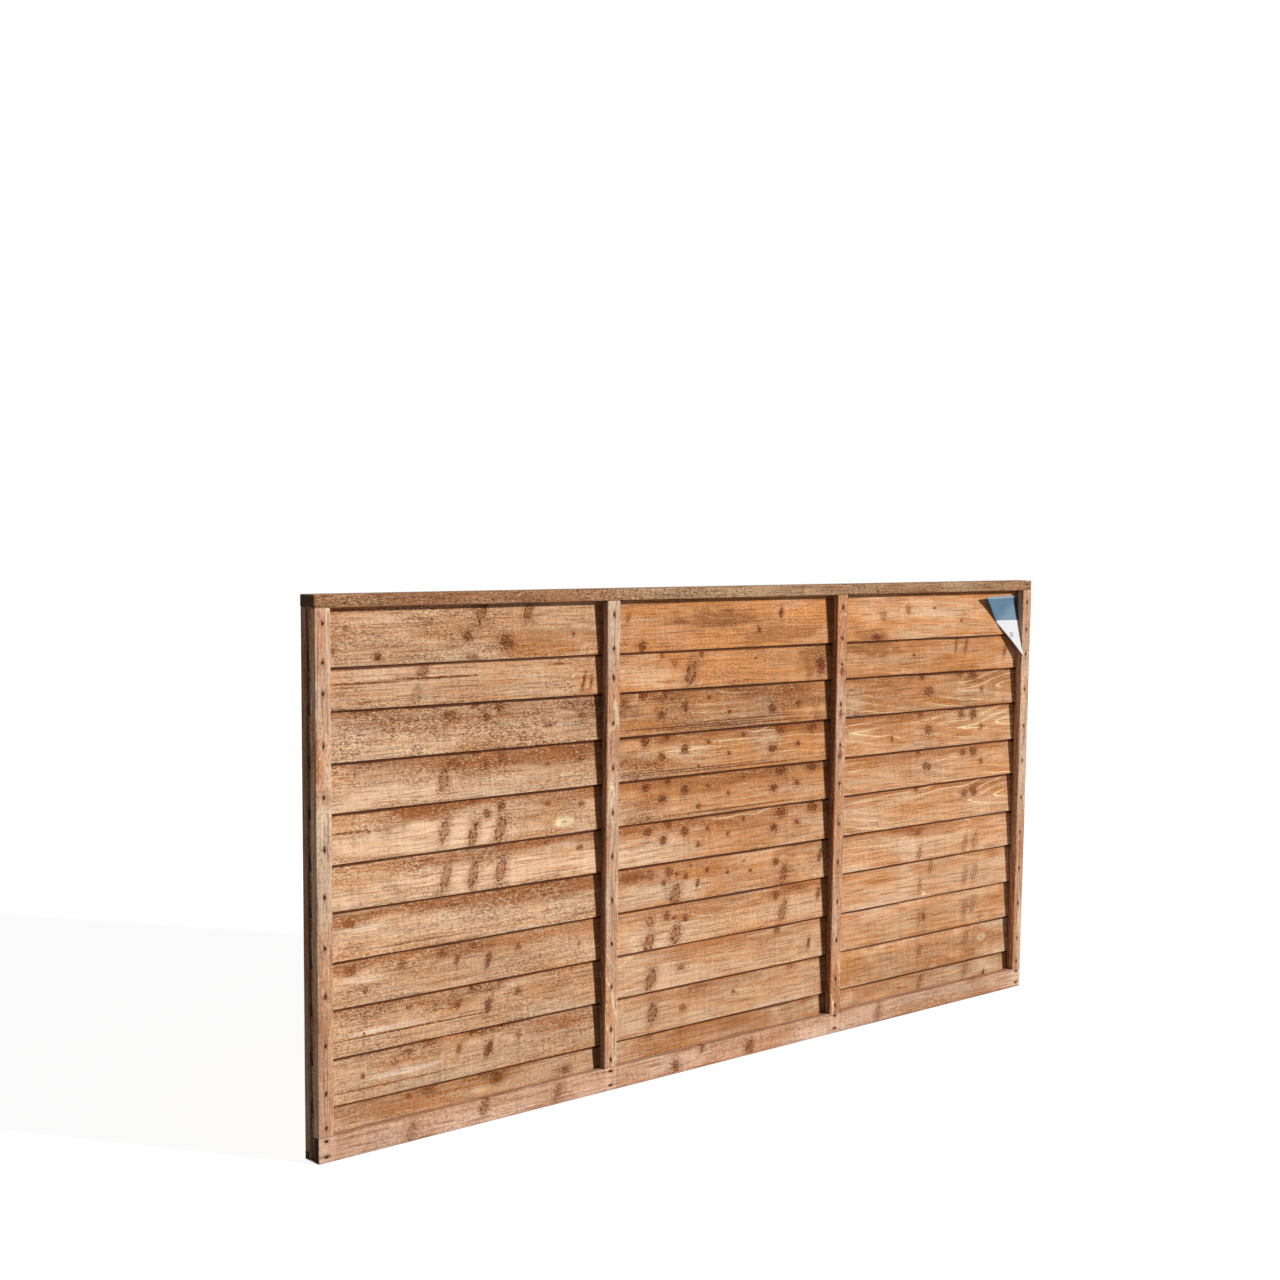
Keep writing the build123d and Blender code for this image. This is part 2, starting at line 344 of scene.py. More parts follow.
class Graph:
    """Short words for building a material or a world from nodes."""

    def __init__(self, name, library=bpy.data.materials):
        self.owner = library.new(name)
        self.owner.use_nodes = True
        self.tree = self.owner.node_tree
        self.tree.nodes.clear()

    def add(self, kind, inputs, **settings):
        """A new node. Each input, by place or name, is linked to an output or set to a value."""
        node = self.tree.nodes.new("ShaderNode" + kind)
        for name, value in settings.items():
            setattr(node, name, value)
        for place, value in inputs.items():
            if isinstance(value, bpy.types.NodeSocket):
                self.tree.links.new(value, node.inputs[place])
            else:
                node.inputs[place].default_value = value
        return node

    def attribute(self, name):
        return self.add("Attribute", {}, attribute_name=name).outputs

    def place(self):
        return self.add("TexCoord", {}).outputs["Object"]

    def math(self, operation, a, b=0.0, clamp=False):
        return self.add("Math", {0: a, 1: b}, operation=operation, use_clamp=clamp).outputs[0]

    def noise(self, vector, factors, detail=2.0, roughness=0.5, distortion=0.0):
        """Noise from about 0 to 1. Its cells are 1/factors metres long."""
        stretched = self.add("VectorMath", {0: vector, 1: factors}, operation="MULTIPLY").outputs[0]
        return self.add("TexNoise", {"Vector": stretched, "Scale": 1.0, "Detail": detail,
                                     "Roughness": roughness, "Distortion": distortion}).outputs[0]

    def step(self, value, low, high, start=0.0, end=1.0):
        """A smooth rise from start, below low, to end, above high."""
        return self.add("MapRange", {"Value": value, "From Min": low, "From Max": high,
                                     "To Min": start, "To Max": end},
                        interpolation_type="SMOOTHSTEP").outputs[0]

    def mix(self, share, a, b):
        return self.add("Mix", {0: share, 6: a, 7: b}, data_type="RGBA").outputs[2]

    def times(self, first, *others):
        """The product of outputs and plain values."""
        for other in others:
            first = self.math("MULTIPLY", first, other)
        return first

    def total(self, *terms):
        """The sum of terms, each a value, an output, or a tuple of factors."""
        result = 0.0
        for term in terms:
            result = self.math("ADD", result, self.times(*term) if isinstance(term, tuple) else term)
        return result

    def swing(self, value, weight, middle=0.5):
        """A term for total: a noise less its middle, and its weight."""
        return self.math("SUBTRACT", value, middle), weight

    def within(self, value, middle, outer, inner):
        """0 where value is outer away from middle, 1 where it is inner away, and smooth between."""
        return self.step(self.math("ABSOLUTE", self.math("SUBTRACT", value, middle)), outer, inner)

    def surface(self, colour, roughness, specular, height=None, relief=0.0):
        """Ends the graph in a shader."""
        sockets = {"Base Color": colour, "Roughness": roughness, "Specular IOR Level": specular}
        if height is not None:
            bump = self.add("Bump", {"Strength": 1.0, "Distance": relief, "Height": height})
            sockets["Normal"] = bump.outputs[0]
        shader = self.add("BsdfPrincipled", sockets)
        self.add("OutputMaterial", {0: shader.outputs[0]})
        return self.owner

    def by_ray(self, seen, lit):
        """One shader for the camera, mirrors and glass, and another that lights the object."""
        rays = self.add("LightPath", {}).outputs
        mirrored = self.math("MAXIMUM", rays["Is Glossy Ray"], rays["Is Transmission Ray"])
        direct = self.math("MAXIMUM", rays["Is Camera Ray"], mirrored)
        return self.add("MixShader", {0: direct, 1: lit, 2: seen}).outputs[0]


DARK_FLECK = linear(104, 52, 22)
PALE_FLECK = linear(248, 208, 164)
PINK = linear(216, 166, 138)
KNOT_WARM = linear(154, 82, 26)
KNOT_DARK = linear(78, 34, 8)
# Painted shade for the corner of a lap, where a slat's edge meets its neighbour
LAP_SHADE_COLOUR = linear(76, 34, 12)
KNOT_RED = linear(134, 54, 18)
CREAM = linear(250, 224, 178)
LILAC = linear(246, 224, 202)


def ring_lines(g, grain, fibre, ring_share, brown, colour):
    """Growth rings: thin pale lines in patches, and wider brown ones."""
    field = g.total(g.attribute("field")["Fac"], (fibre, 0.0016))
    ring = g.math("SINE", g.times(field, RING_DENSITY * 2 * math.pi))
    ringed = g.attribute("ringed")["Fac"]
    patch = g.noise(grain, (5, 17, 17))
    shown = g.total((g.step(patch, 0.50, 0.66), 0.45), (ringed, g.step(patch, 0.42, 0.60), 0.9))
    wide = g.times(g.step(ring, 0.1, -0.9), g.total(0.13 * ring_share, (ringed, 0.05)))
    colour = g.mix(wide, colour, brown)
    pale = g.times(g.step(ring, 0.90, 0.99), g.math("MULTIPLY", shown, 0.85 * ring_share, True))
    return g.mix(pale, colour, CREAM), ring


def sawn_fuzz(g, grain, fuzz, dark_share, pale_share, colour):
    """Torn fibres in patches: short dark curls, and pale and dark flecks."""
    curl = g.noise(grain, (105, 225, 225), 2.0, 0.55, 1.3)
    fleck = g.noise(grain, (165, 390, 390), 2.0, 0.6, 0.5)
    patch = g.step(g.noise(grain, (12, 30, 30), 2.0, 0.6), 0.36, 0.60, 0.25, 1.0)
    amount = g.math("MULTIPLY", patch, fuzz, True)
    pale = g.times(g.step(fleck, 0.50, 0.66), g.total(0.12, (amount, 0.66)), pale_share)
    dark = g.times(g.step(fleck, 0.49, 0.36), g.total(0.17, (amount, 0.56)), dark_share)
    line = g.times(g.within(curl, 0.5, 0.060, 0.0), g.total(0.06, (amount, 0.66)), dark_share)
    for share, tone in ((pale, PALE_FLECK), (dark, DARK_FLECK), (line, DARK_FLECK)):
        colour = g.mix(share, colour, tone)
    return colour, curl, fleck


def knot_marks(g, grain, brown, colour):
    """Knots and stains: a warm body, broken dark fragments and a soft halo. Some are pale."""
    knot = g.attribute("knot")
    aside, up, tone = g.add("SeparateColor", {0: knot["Color"]}).outputs
    hue = knot["Alpha"]
    rough = g.noise(grain, (150, 150, 150), 2.0, 0.6)
    torn = g.noise(grain, (230, 330, 330), 1.0, 0.5)
    plain = g.math("SQRT", g.total((aside, aside), (up, up)))
    reach = g.total((plain, 1.12), g.swing(rough, 1.7))
    even = g.total(plain, g.swing(rough, 0.7))
    dark = g.math("MULTIPLY", tone, 1.3, True)
    pale = g.math("MAXIMUM", g.times(tone, -1.0), 0.0)
    washed = g.math("MAXIMUM", g.times(hue, -1.0), 0.0)

    body = g.step(reach, 1.30, 0.55)
    halo = g.times(g.step(reach, 3.0, 0.7), dark)
    swirl = g.times(g.step(g.math("SINE", g.times(reach, 8.0)), -0.1, 0.9), g.step(torn, 0.38, 0.52))
    rim = g.times(g.within(reach, 0.95, 0.45, 0.05), g.step(torn, 0.40, 0.54))
    core = g.times(g.step(reach, 0.70, 0.15), g.total(0.75, (washed, -0.75)))
    marks = g.math("MAXIMUM", g.math("MAXIMUM", g.times(body, swirl, 0.65), rim), core)
    warm = g.mix(g.math("MAXIMUM", hue, 0.0), KNOT_WARM, KNOT_RED)
    colour = g.mix(g.times(halo, 0.50), colour, brown)
    colour = g.mix(g.times(body, dark, g.total(0.95, (washed, -0.55))), colour, warm)
    colour = g.mix(g.math("MULTIPLY", marks, dark, True), colour, KNOT_DARK)

    shred = g.step(g.noise(grain, (20, 330, 330), 3.0, 0.6), 0.40, 0.56, -0.9, 0.0)
    whole = g.times(g.step(even, 1.15, 0.55), g.total(1.0, (washed, shred)), pale)
    heart = g.times(g.step(even, 0.45, 0.15), g.step(hue, -0.6, -0.2), pale, 0.5)
    colour = g.mix(whole, colour, g.mix(washed, CREAM, LILAC))
    return g.mix(heart, colour, brown), body, halo


def wood_material(name, tones, fuzz_share, ring_share, speck, pale_share):
    """Sawn, dipped softwood: patches, fibre, rings, knots, fuzz and saw marks over three tones."""
    g = Graph(name)
    pale, mid, brown = tones
    grain = g.attribute("grain")["Vector"]
    tone = g.attribute("tone")
    lightness, dimness, heat = g.add("SeparateColor", {0: tone["Color"]}).outputs

    patch = g.noise(grain, (6, 26, 26), 3.0, 0.55)
    blush = g.noise(grain, (9, 19, 19), 2.0, 0.5, 0.6)
    streak = g.noise(grain, (4, 105, 105), 3.0, 0.6, 0.3)
    fibre = g.noise(grain, (14, 380, 380), 3.0, 0.65)
    saw = g.noise(grain, (230, 7, 7), 2.0, 0.7)

    warmth = g.total(heat, g.swing(patch, 1.8), g.swing(streak, 1.2))
    colour = g.mix(g.math("MULTIPLY", warmth, 1.0, True), pale, mid)
    colour = g.mix(g.step(blush, 0.50, 0.72, 0.0, 0.30), colour, PINK)
    band = g.total((dimness, 0.95), g.swing(patch, 0.9), g.swing(streak, 1.3, 0.53))
    colour = g.mix(g.math("MULTIPLY", band, 0.88, True), colour, brown)
    colour = g.mix(g.step(fibre, 0.48, 0.34, 0.0, 0.55), colour, brown)
    colour, ring = ring_lines(g, grain, fibre, ring_share, brown, colour)
    colour, body, halo = knot_marks(g, grain, brown, colour)
    fuzz = g.total(tone["Alpha"], (halo, 0.25), (body, -0.6))
    colour, curl, fleck = sawn_fuzz(g, grain, fuzz, fuzz_share, pale_share, colour)
    if speck:
        spots = g.step(g.noise(grain, (75, 190, 190), 2.0, 0.7), 0.40, 0.28)
        colour = g.mix(g.times(spots, speck), colour, KNOT_DARK)
    # Painted shade: dark brown in the corner of each lap, where a slat's edge meets its neighbour
    gap = g.total(g.attribute("lap")["Fac"], g.swing(patch, 0.006))
    colour = g.mix(g.step(gap, LAP_SHADE_REACH * 1.25, LAP_SHADE_REACH * 0.75, 0.0, 0.92), colour, LAP_SHADE_COLOUR)

    level = g.total(0.83, (lightness, 0.40), g.swing(fibre, 0.80), g.swing(saw, 0.48), g.swing(streak, 0.40))
    colour = g.add("VectorMath", {0: colour, "Scale": level}, operation="SCALE").outputs[0]
    height = g.total((fibre, 0.6), (curl, 0.8), (fleck, 0.5), (saw, 0.5), (ring, 0.05), (body, -0.3))
    return g.surface(colour, 0.86, 0.2, height, 0.0007)


def end_material(name, pale, dark):
    """The sawn end of a board, with its growth rings as arcs."""
    g = Graph(name)
    ring = g.math("SINE", g.times(g.attribute("field")["Fac"], RING_DENSITY * 4 * math.pi))
    fleck = g.noise(g.attribute("grain")["Vector"], (500, 500, 500), 3.0, 0.7)
    share = g.total((g.step(ring, -0.6, 0.9), 0.4), (g.step(fleck, 0.35, 0.65), 0.6))
    return g.surface(g.mix(share, dark, pale), 0.9, 0.15, fleck, 0.0004)


def sawn_wood(name, tones, end_tones, fuzz_share, ring_share, speck=0.0, pale_share=1.0):
    """The materials of a board's faces and of its ends. Tones go from pale to dark."""
    face = wood_material(name + "_sawn", [linear(*tone) for tone in tones], fuzz_share, ring_share, speck,
                         pale_share)
    return face, end_material(name + "_end", *[linear(*tone) for tone in end_tones])


def nail_material():
    """Dull steel that has gone dark and rusty out of doors."""
    g = Graph("nail_steel_dull")
    rust = g.noise(g.place(), (600, 600, 600), 3.0, 0.6)
    colour = g.mix(g.step(rust, 0.35, 0.65), linear(62, 36, 22), linear(112, 68, 42))
    return g.surface(colour, 0.85, 0.1, rust, 0.0001)


# The card: heights of its print, the place of its dark edge and of its small square
CARD_BLUE_FOOT = 0.8275
CARD_STRIP = 0.876
CARD_NAVY = 0.876
CARD_SQUARE = (0.857, 0.796)


def card_material():
    """Printed card: blue above, white below with one small grey square, each a little uneven."""
    g = Graph("card_print")
    place = g.place()
    across, deep, up = g.add("SeparateXYZ", {0: place}).outputs
    blotch = g.noise(place, (60, 60, 60), 3.0, 0.6)
    blue = g.mix(blotch, linear(70, 104, 132), linear(104, 138, 160))
    blue = g.mix(g.step(across, CARD_NAVY - 4 * MM, CARD_NAVY + 4 * MM, 0.0, 0.75), blue, linear(34, 46, 72))
    blue = g.mix(g.step(up, CARD_STRIP - MM, CARD_STRIP + MM, 0.0, 0.6), blue, linear(176, 184, 190))
    white = g.mix(blotch, linear(216, 218, 222), linear(242, 242, 242))
    beside, level = [g.within(value, middle, 6.4 * MM, 5.0 * MM)
                     for value, middle in zip((across, up), CARD_SQUARE)]
    white = g.mix(g.times(beside, level, 0.6), white, linear(130, 136, 146))
    colour = g.mix(g.step(up, CARD_BLUE_FOOT - MM, CARD_BLUE_FOOT + MM), white, blue)
    return g.surface(colour, 0.5, 0.35)


# The slats' end tones are dark: partly end grain, partly painted shade for the slat ends that sit in shade
# between the uprights
SLAT_WOOD = sawn_wood("slat", ((229, 192, 156), (216, 146, 86), (149, 83, 34)),
                      ((104, 62, 42), (52, 26, 16)), 1.1, 0.9)
UPRIGHT_WOOD = sawn_wood("upright", ((237, 206, 176), (212, 148, 104), (150, 82, 46)),
                         ((150, 108, 78), (90, 58, 40)), 0.9, 1.0)
CAP_WOOD = sawn_wood("cap", ((192, 158, 120), (168, 116, 78), (100, 62, 38)),
                     ((110, 80, 56), (60, 40, 26)), 1.2, 0.3, 1.0, 0.60)
RAIL_WOOD = sawn_wood("rail", ((228, 190, 164), (208, 148, 106), (142, 80, 46)),
                      ((84, 54, 38), (46, 28, 20)), 0.8, 0.6)
NAIL_STEEL = nail_material()
CARD_PRINT = card_material()


# Knots, stains and splits of one slat only, by its number, in mm: where along the panel and how far up the
# slat, half the length and height, how dark in percent (negative: pale), then 1 if it is redder, or -1 if it
# is hollow or broken up
MARKS = {
    1: ((-870, 26, 5, 5, 55), (-845, 61, 5, 5, 45), (-786, 14, 7, 6, 75), (-678, 72, 2, 2, 70),
        (-608, 43, 8, 8, 95), (-598, 6, 12, 5, 40), (-577, 80, 9, 15, 85, -1), (-526, 30, 13, 12, 95),
        (-476, 80, 8, 14, 80, -1), (-378, 38, 5, 3, 70), (-250, 64, 5, 9, 40), (-218, 10, 10, 8, 75),
        (-118, 53, 18, 4, 45), (82, 33, 5, 6, 70), (144, 64, 6, 9, 70, 1), (422, 6, 15, 6, 60, 1),
        (444, 50, 9, 9, 50, -1), (523, 62, 8, 10, 40), (607, 63, 5, 2, 70), (695, 34, 4, 3, 70)),
    2: ((-696, 60, 9, 15, 65, -1), (-410, 58, 18, 2, 50), (-356, 22, 3, 14, 70), (-338, 22, 3, 12, 60),
        (-167, 64, 5, 6, 60), (-135, 48, 8, 6, 45), (-95, 28, 12, 19, 75, -1), (-67, 63, 5, 5, 70),
        (76, 50, 3, 2, 70), (257, 28, 12, 16, 70, 1), (488, 71, 5, 3, 60), (542, 39, 4, 3, 70),
        (681, 57, 5, 15, 40), (714, 52, 5, 17, 40), (848, 38, 5, 13, 40, 1), (-808, 42, 74, 1.5, 95),
        (-662, 45, 74, 1.5, 85), (-712, 18, 10, 16, 35, -1), (-640, 29, 60, 0.6, 40)),
    3: ((40, 16, 150, 1.1, 55, 1),),
    4: ((-396, 24, 14, 4, -40), (477, 28, 5, 6, 60), (-110, 47, 70, 1.6, -85), (20, 58, 60, 1.6, -85),
        (100, 70, 40, 1.6, -80)),
    5: ((-398, 22, 25, 11, -100), (-840, 49, 40, 1.5, 95)),
    6: ((-420, 15, 60, 0.7, 45),),
    7: ((-228, 60, 34, 9, 30, 1), (-157, 42, 6, 6, 50, 1), (-88, 66, 4, 3, 70), (-71, 32, 4, 6, 70),
        (-46, 52, 5, 5, 70), (7, 42, 4, 3, 70), (52, 58, 4, 2, 60), (69, 38, 4, 3, 70),
        (569, 62, 9, 6, 50), (-700, 12, 120, 0.7, 45), (-810, 48, 60, 6, -50, -1)),
    8: ((-742, 55, 6, 7, 50), (-659, 62, 11, 7, 50, 1), (-361, 36, 3, 3, 80), (591, 8, 7, 4, -80),
        (614, 62, 6, 13, 45, -1), (-810, 41, 50, 6, -55, -1)),
    9: ((237, 32, 4, 10, 60, 1), (593, 38, 7, 9, 60), (-740, 26, 150, 1.2, 85),
        (-760, 32, 85, 7, -65, -1)),
    10: ((-65, 68, 24, 5, 35), (28, 44, 4, 4, 60, 1), (190, 74, 10, 7, 45), (794, 44, 18, 10, -60),
         (-770, 19, 110, 1.2, 85), (-735, 33, 95, 6, -65, -1), (-445, 42, 60, 6, -45, -1)),
    11: ((-545, 62, 13, 9, 55), (-391, 48, 12, 7, 50, 1), (804, 40, 4, 6, 85)),
}
RAIL_MARKS = (
    (-736, 16, 8, 14, 50, -1), (-585, 29, 8, 14, 65, -1), (-423, 22, 9, 17, 35, 1),
    (-140, 16, 10, 12, 55), (-71, 37, 5, 10, 60), (55, 16, 11, 12, 60), (432, 21, 8, 15, 55, -1),
)
# A branch shows again in slats that were sawn next to each other. A row gives the first and last slat, the
# place in the first, how far it moves from one slat to the next, and the rest as above
BRANCHES = (
    (3, 4, -640, 62, 5, 0, 12, 8, 55), (4, 6, -657, 37, 2, -3, 9, 18, 65, -1),
    (3, 5, -588, 78, -3, 0, 8, 6, 60), (5, 6, -596, 20, 0, 8, 9, 20, 75, -1),
    (3, 5, -568, 56, 1, -1, 8, 7, 65), (3, 5, -537, 71, 1, -4, 8, 8, 70),
    (5, 6, -538, 24, 1, 6, 10, 20, 75, -1), (3, 6, -434, 33, 0, 12, 6, 3, 65),
    (3, 6, -357, 47, -1, 1, 8, 4, 60), (3, 6, -212, 74, 5, -4, 10, 8, 80),
    (3, 6, -169, 36, 3, 2, 9, 7, 75), (3, 6, -154, 76, 3, -1, 9, 8, 75), (3, 6, -108, 49, 1, 1, 9, 8, 75),
    (5, 6, -88, 78, 0, -4, 4, 3, 70), (4, 6, -74, 12, 1, 6, 5, 5, 65), (3, 6, -46, 61, 0, -3, 5, 4, 70),
    (3, 6, 6, 31, 0, 2, 4, 4, 70), (4, 6, 47, 66, 1, -2, 4, 4, 70), (3, 6, 121, 31, 4, 2, 10, 7, 80),
    (4, 6, 149, 70, 2, -2, 13, 9, 75), (3, 6, 195, 36, 1, 2, 7, 5, 70), (4, 6, 237, 70, 3, -1, 12, 9, 75),
    (3, 6, 572, 72, -3, 2, 8, 7, 65), (3, 5, 593, 39, 0, 0, 14, 9, 60), (3, 6, 698, 72, 8, -6, 11, 8, 55),
    (3, 6, 742, 68, 4, -4, 12, 10, 70), (3, 5, 770, 36, 2, 0, 7, 6, 50),
    (7, 8, -842, 59, 2, 0, 11, 8, 50), (8, 10, -812, 22, -3, 8, 5, 4, 60),
    (9, 11, -726, 60, -1, 4, 6, 4, 55), (10, 11, -685, 75, 0, -4, 15, 9, 45),
    (8, 10, -629, 46, 2, 2, 5, 7, 60), (8, 10, -594, 66, -2, 4, 6, 6, 60),
    (8, 10, -563, 36, 0, 1, 7, 13, 60, 1), (9, 10, -536, 76, 0, 0, 7, 6, 60),
    (8, 10, -498, 50, 1, 0, 6, 7, 50), (7, 8, -191, 60, 1, -8, 9, 9, 60, -1),
    (8, 10, -195, 12, 6, 12, 11, 18, 75, -1), (7, 8, -143, 60, -5, -3, 8, 8, 60),
    (7, 8, -130, 16, 3, 5, 12, 17, 75, -1), (7, 8, -124, 54, -5, -2, 6, 4, 65),
    (7, 8, -102, 48, 1, 0, 6, 6, 70), (9, 10, -112, 34, 6, 0, 10, 6, 45),
    (7, 9, 139, 48, 4, 12, 8, 8, 60), (7, 8, 159, 18, 2, 10, 9, 18, 75, -1),
    (7, 8, 266, 46, -2, 4, 6, 12, 55, 1), (7, 11, 574, 16, 3, 9, 6, 12, 45, -1),
    (7, 11, 726, 20, 4, 10, 8, 15, 40, -1), (7, 9, 761, 24, 0, 10, 9, 16, 40, -1),
    (3, 4, -80, 11, 0, 0, 170, 1.3, 60, 1), (3, 5, 10, 7, 0, 0, 200, 1.2, 55, 1),
)


def board_knots(board, marks):
    """Marks in mm as knots in the board's own metres: place, half length and height, tone and hue."""
    return [(x * MM - board.corner[0], up * MM, half_x * MM, half_up * MM, tone / 100, hue[0] if hue else 0)
            for x, up, half_x, half_up, tone, *hue in marks]


def slat_knots(number, board):
    """The knots of one slat."""
    marks = list(MARKS.get(number, ()))
    for first, last, x, up, step_x, step_up, *rest in BRANCHES:
        if first <= number <= last:
            marks.append((x + step_x * (number - first), up + step_up * (number - first), *rest))
    return board_knots(board, marks)


# How light each slat is, from the top, how much of the dark band it has, and how its three bays differ
SLAT_LIGHTNESS = (0.50, 0.52, 0.42, 0.50, 0.54, 0.58, 0.60, 0.60, 0.58, 0.44, 0.20)
SLAT_BAND = (0.0, 0.15, 0.60, 0.95, 1.00, 1.00, 0.85, 0.65, 0.50, 0.45, 0.45)
BAY_LIGHTNESS = (-0.06, 0.02, 0.08)
BAY_BAND = (1.00, 0.80, 0.60)
BAY_WARMTH = (0.28, 0.90, 0.80)
FOOT_WARMTH = (0.05, -0.65, -0.55)
BAY_FUZZ = (0.85, 0.25, 0.12)
BAY_EDGES = (0.335, 0.665)
BAY_BLEND = 0.04

# Places where the tone changes, in mm: the first and last slat, the middle, half the length and height, then
# by how many percent it is lighter, browner, warmer and more torn there
PATCHES = (
    (1, 1, -780, 62, 90, 28, 20, 0, -25, 10), (1, 1, -430, 25, 130, 25, -20, 0, 45, -10),
    (1, 1, -430, 50, 260, 44, 0, 0, 0, -40), (1, 1, -20, 56, 120, 17, -45, 75, 50, 0),
    (1, 1, 120, 26, 130, 15, -30, 45, 50, 0), (1, 1, 200, 66, 70, 18, 35, 0, -5, 0),
    (1, 1, 520, 55, 220, 30, 35, 0, -22, 0), (1, 1, -600, 40, 330, 70, -22, 0, 22, 0),
    (1, 1, 395, 12, 60, 14, -45, 40, 30, 20), (2, 2, -620, 45, 300, 50, 10, 0, -10, -65),
    (2, 2, -620, 18, 310, 24, -25, 0, 30, 0), (2, 2, -190, 38, 95, 34, 22, 0, -50, -10),
    (2, 2, 235, 45, 60, 36, -50, 50, 50, 0), (2, 2, 420, 62, 110, 18, -40, 40, 30, 0),
    (2, 2, 600, 40, 300, 60, -35, 0, 25, 0), (3, 3, -600, 36, 330, 50, 0, 0, 0, 45),
    (3, 3, -330, 52, 70, 30, -35, 30, 20, 0), (3, 3, -760, 18, 130, 24, 25, 0, -25, 0),
    (3, 3, 0, 40, 300, 60, -42, 25, 20, 15), (3, 4, 110, 48, 42, 34, -12, -20, -45, 0),
    (3, 3, 580, 40, 290, 60, -35, 10, 20, 5), (3, 3, 350, 32, 35, 34, -10, 0, -30, 50),
    (4, 4, -765, 22, 130, 22, 30, -30, -35, -70), (5, 5, -690, 24, 200, 22, 45, -40, -45, -70),
    (6, 6, -560, 26, 320, 24, 45, -40, -45, -60), (4, 4, -860, 64, 60, 22, 15, -60, 0, 20),
    (5, 5, -830, 64, 95, 22, 15, -70, 0, 20), (6, 6, -770, 64, 150, 22, 10, -70, 0, 30),
    (4, 5, -230, 26, 60, 26, -15, 40, 0, 50), (4, 4, -120, 44, 80, 14, 25, 0, -50, 0),
    (6, 8, -180, 22, 110, 22, 10, -20, -70, 0), (4, 5, 0, 40, 300, 60, -22, 0, 10, 0),
    (7, 8, 190, 66, 80, 12, -10, 50, 20, 0), (4, 5, 580, 40, 290, 60, -12, 0, 10, 0),
    (7, 8, 532, 40, 26, 42, 6, 0, -28, 0), (7, 7, 450, 64, 130, 14, -15, 35, 20, 0),
    (8, 8, 580, 40, 290, 60, -10, -20, 5, 0), (9, 9, 560, 34, 300, 50, -35, 0, 35, 0),
    (10, 10, 560, 34, 300, 50, -50, 10, 55, 10), (9, 10, 560, 68, 300, 16, 40, -40, -15, 0),
    (11, 11, 560, 40, 300, 60, -20, 10, 45, 10), (11, 11, 0, 40, 300, 60, -20, 10, 45, 0),
    (6, 7, 0, 25, 290, 30, -20, 0, 20, 0), (8, 10, -600, 26, 330, 30, -18, 0, 5, 0),
    (9, 11, -560, 76, 60, 12, -35, 30, 20, 30), (8, 10, -800, 66, 110, 16, -10, 10, 10, 40),
    (8, 9, -640, 60, 90, 14, -20, 25, 20, 30),
)
PATCH_WARP = 0.35
# The first and last slat sawn from each block, and how much the block's growth rings show in each bay
BLOCKS = ((1, 1), (2, 2), (3, 6), (7, 11))
RING_SHOW = ((0.10, 0.05, 0.15), (0.10, 0.10, 0.10), (0.05, 0.20, 1.00), (0.05, 0.10, 0.10))


def by_bay(values, s):
    """A value for each bay along the panel, blended where one bay meets the next."""
    left, middle, right = values
    second, third = [ramp(edge - BAY_BLEND, edge + BAY_BLEND, s / (2 * PANEL_HALF)) for edge in BAY_EDGES]
    return left + (middle - left) * second + (right - middle) * third


def edge_gap(board, other, up, out, s, t):
    """How far another slat's edge lies up across a board from each of its places."""
    edge = other.corner + s[:, None] * other.along + up * other.across + out * other.outward
    return (edge - board.corner) @ board.across - t


def slat_lap(number, boards, s, t, n):
    """How far a slat's face lies below the slat above, and its back above the slat below."""
    board = boards[number - 1]
    front = back = np.full_like(s, NO_LAP)
    if number > 1:
        front = edge_gap(board, boards[number - 2], 0, 0, s, t)
    if number < len(boards):
        back = -edge_gap(board, boards[number], board.width, -board.thickness, s, t)
    return np.where(n > -board.thickness / 2, front, back)


def patch_share(seed, s, t, x, up, half_x, half_up):
    """How much of a patch lies at each place: 1 in its middle, with an uneven soft edge."""
    reach = np.hypot((s - PANEL_HALF - x * MM) / (half_x * MM), (t - up * MM) / (half_up * MM))
    reach = reach + PATCH_WARP * noise(seed + 14, s, t, 0.07, 0.02)
    reach = reach + PATCH_WARP * noise(seed + 15, s, t, 0.02, 0.009)
    return ramp(1.25, 0.55, reach)


# Each function below gives a board's tones at its places: lightness, brown band, warmth and fuzz


